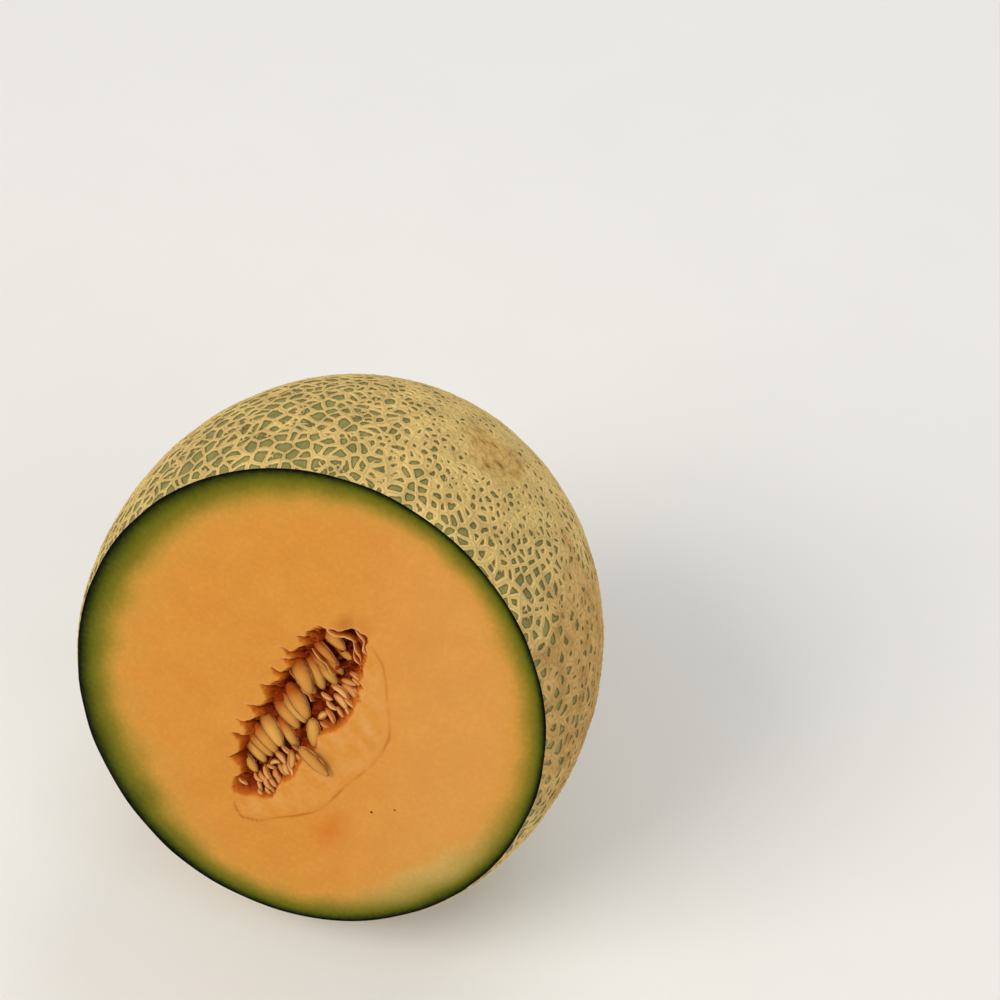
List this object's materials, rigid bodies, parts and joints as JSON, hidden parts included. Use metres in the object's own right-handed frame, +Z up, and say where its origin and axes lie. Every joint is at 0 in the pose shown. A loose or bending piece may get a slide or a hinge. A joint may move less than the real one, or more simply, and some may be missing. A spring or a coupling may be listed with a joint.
{
  "type": "cut netted melon",
  "caption": "Netted orange-fleshed melon with a slice taken off along its length, showing green rind, flesh and the seed slit; it stands on a small flat spot.",
  "frame": {"origin": "middle of the bounding box's footprint, on the surface that the melon stands on", "axes": "+Z up, roughly along the fruit's length; the cut face looks along -Y and leans back 18 degrees; +X to the right of somebody who faces the cut"},
  "size_m": [0.1534, 0.1282, 0.1702],
  "materials": {
    "rind_and_flesh": "tan corky net over olive green skin outside; moist orange flesh with a green band under the skin on the cut face",
    "pulp": "wet, stringy, orange to dark red brown",
    "seed": "smooth, moist, cream to tan",
    "young_seed": "soft, moist, pinkish cream"
  },
  "bodies": {
    "root": {"melon": "rind_and_flesh", "pulp": "pulp", "seeds": "seed", "young_seeds": "young_seed", "stray_seed_on_slit": "seed", "stray_seed_on_flesh": "seed"}
  },
  "joints": []
}
